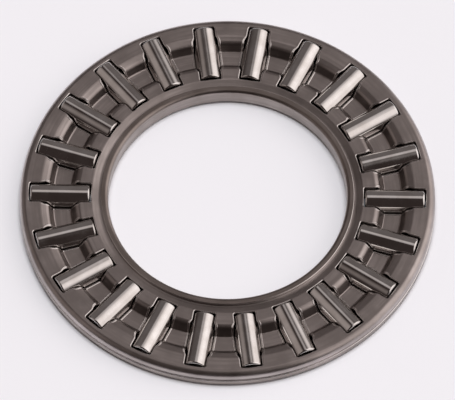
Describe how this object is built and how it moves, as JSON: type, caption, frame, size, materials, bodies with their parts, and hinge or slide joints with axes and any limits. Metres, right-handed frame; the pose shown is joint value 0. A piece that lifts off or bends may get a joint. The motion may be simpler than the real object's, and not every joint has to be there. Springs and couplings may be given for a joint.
{
  "type": "thrust needle roller and cage assembly",
  "caption": "Flat ring-shaped pressed-steel cage holding radial needle rollers, which carries axial load between two flat raceways turning on a shaft.",
  "frame": {"origin": "on the bearing's axis, in the lower raceway plane that the rollers stand on", "axes": "+Z along the bearing's axis towards the side with the curled bore lip; +X through the middle of roller_01"},
  "size_m": [0.035, 0.035, 0.002],
  "materials": {
    "cage_sheet_upper": "pressed sheet steel, fine circumferential draw marks, satin, edges burnished",
    "cage_sheet_lower": "pressed sheet steel, fine circumferential draw marks, satin, edges burnished",
    "roller_steel": "hardened bearing steel, ground and polished"
  },
  "bodies": {
    "cage": {"upper_cage_ring": "cage_sheet_upper", "lower_cage_ring": "cage_sheet_lower"},
    "roller_01_body": {"roller_01": "roller_steel"},
    "roller_02_body": {"roller_02": "roller_steel"},
    "roller_03_body": {"roller_03": "roller_steel"},
    "roller_04_body": {"roller_04": "roller_steel"},
    "roller_05_body": {"roller_05": "roller_steel"},
    "roller_06_body": {"roller_06": "roller_steel"},
    "roller_07_body": {"roller_07": "roller_steel"},
    "roller_08_body": {"roller_08": "roller_steel"},
    "roller_09_body": {"roller_09": "roller_steel"},
    "roller_10_body": {"roller_10": "roller_steel"},
    "roller_11_body": {"roller_11": "roller_steel"},
    "roller_12_body": {"roller_12": "roller_steel"},
    "roller_13_body": {"roller_13": "roller_steel"},
    "roller_14_body": {"roller_14": "roller_steel"},
    "roller_15_body": {"roller_15": "roller_steel"},
    "roller_16_body": {"roller_16": "roller_steel"},
    "roller_17_body": {"roller_17": "roller_steel"},
    "roller_18_body": {"roller_18": "roller_steel"},
    "roller_19_body": {"roller_19": "roller_steel"},
    "roller_20_body": {"roller_20": "roller_steel"},
    "roller_21_body": {"roller_21": "roller_steel"},
    "roller_22_body": {"roller_22": "roller_steel"}
  },
  "joints": [
    {"name": "roller_01_spin", "type": "hinge", "parent": "cage", "child": "roller_01_body", "pos_m": [0.01411, 0, 0.001], "axis": [1, 0, 0], "continuous": true},
    {"name": "roller_02_spin", "type": "hinge", "parent": "cage", "child": "roller_02_body", "pos_m": [0.01354, 0.00398, 0.001], "axis": [0.9595, 0.2817, 0], "continuous": true},
    {"name": "roller_03_spin", "type": "hinge", "parent": "cage", "child": "roller_03_body", "pos_m": [0.01187, 0.00763, 0.001], "axis": [0.8413, 0.5406, 0], "continuous": true},
    {"name": "roller_04_spin", "type": "hinge", "parent": "cage", "child": "roller_04_body", "pos_m": [0.00924, 0.01066, 0.001], "axis": [0.6549, 0.7557, 0], "continuous": true},
    {"name": "roller_05_spin", "type": "hinge", "parent": "cage", "child": "roller_05_body", "pos_m": [0.00586, 0.01283, 0.001], "axis": [0.4154, 0.9096, 0], "continuous": true},
    {"name": "roller_06_spin", "type": "hinge", "parent": "cage", "child": "roller_06_body", "pos_m": [0.00201, 0.01397, 0.001], "axis": [0.1423, 0.9898, 0], "continuous": true},
    {"name": "roller_07_spin", "type": "hinge", "parent": "cage", "child": "roller_07_body", "pos_m": [-0.00201, 0.01397, 0.001], "axis": [-0.1423, 0.9898, 0], "continuous": true},
    {"name": "roller_08_spin", "type": "hinge", "parent": "cage", "child": "roller_08_body", "pos_m": [-0.00586, 0.01283, 0.001], "axis": [-0.4154, 0.9096, 0], "continuous": true},
    {"name": "roller_09_spin", "type": "hinge", "parent": "cage", "child": "roller_09_body", "pos_m": [-0.00924, 0.01066, 0.001], "axis": [-0.6549, 0.7557, 0], "continuous": true},
    {"name": "roller_10_spin", "type": "hinge", "parent": "cage", "child": "roller_10_body", "pos_m": [-0.01187, 0.00763, 0.001], "axis": [-0.8413, 0.5406, 0], "continuous": true},
    {"name": "roller_11_spin", "type": "hinge", "parent": "cage", "child": "roller_11_body", "pos_m": [-0.01354, 0.00398, 0.001], "axis": [-0.9595, 0.2817, 0], "continuous": true},
    {"name": "roller_12_spin", "type": "hinge", "parent": "cage", "child": "roller_12_body", "pos_m": [-0.01411, 0, 0.001], "axis": [-1, 0, 0], "continuous": true},
    {"name": "roller_13_spin", "type": "hinge", "parent": "cage", "child": "roller_13_body", "pos_m": [-0.01354, -0.00398, 0.001], "axis": [-0.9595, -0.2817, 0], "continuous": true},
    {"name": "roller_14_spin", "type": "hinge", "parent": "cage", "child": "roller_14_body", "pos_m": [-0.01187, -0.00763, 0.001], "axis": [-0.8413, -0.5406, 0], "continuous": true},
    {"name": "roller_15_spin", "type": "hinge", "parent": "cage", "child": "roller_15_body", "pos_m": [-0.00924, -0.01066, 0.001], "axis": [-0.6549, -0.7557, 0], "continuous": true},
    {"name": "roller_16_spin", "type": "hinge", "parent": "cage", "child": "roller_16_body", "pos_m": [-0.00586, -0.01283, 0.001], "axis": [-0.4154, -0.9096, 0], "continuous": true},
    {"name": "roller_17_spin", "type": "hinge", "parent": "cage", "child": "roller_17_body", "pos_m": [-0.00201, -0.01397, 0.001], "axis": [-0.1423, -0.9898, 0], "continuous": true},
    {"name": "roller_18_spin", "type": "hinge", "parent": "cage", "child": "roller_18_body", "pos_m": [0.00201, -0.01397, 0.001], "axis": [0.1423, -0.9898, 0], "continuous": true},
    {"name": "roller_19_spin", "type": "hinge", "parent": "cage", "child": "roller_19_body", "pos_m": [0.00586, -0.01283, 0.001], "axis": [0.4154, -0.9096, 0], "continuous": true},
    {"name": "roller_20_spin", "type": "hinge", "parent": "cage", "child": "roller_20_body", "pos_m": [0.00924, -0.01066, 0.001], "axis": [0.6549, -0.7557, 0], "continuous": true},
    {"name": "roller_21_spin", "type": "hinge", "parent": "cage", "child": "roller_21_body", "pos_m": [0.01187, -0.00763, 0.001], "axis": [0.8413, -0.5406, 0], "continuous": true},
    {"name": "roller_22_spin", "type": "hinge", "parent": "cage", "child": "roller_22_body", "pos_m": [0.01354, -0.00398, 0.001], "axis": [0.9595, -0.2817, 0], "continuous": true}
  ]
}
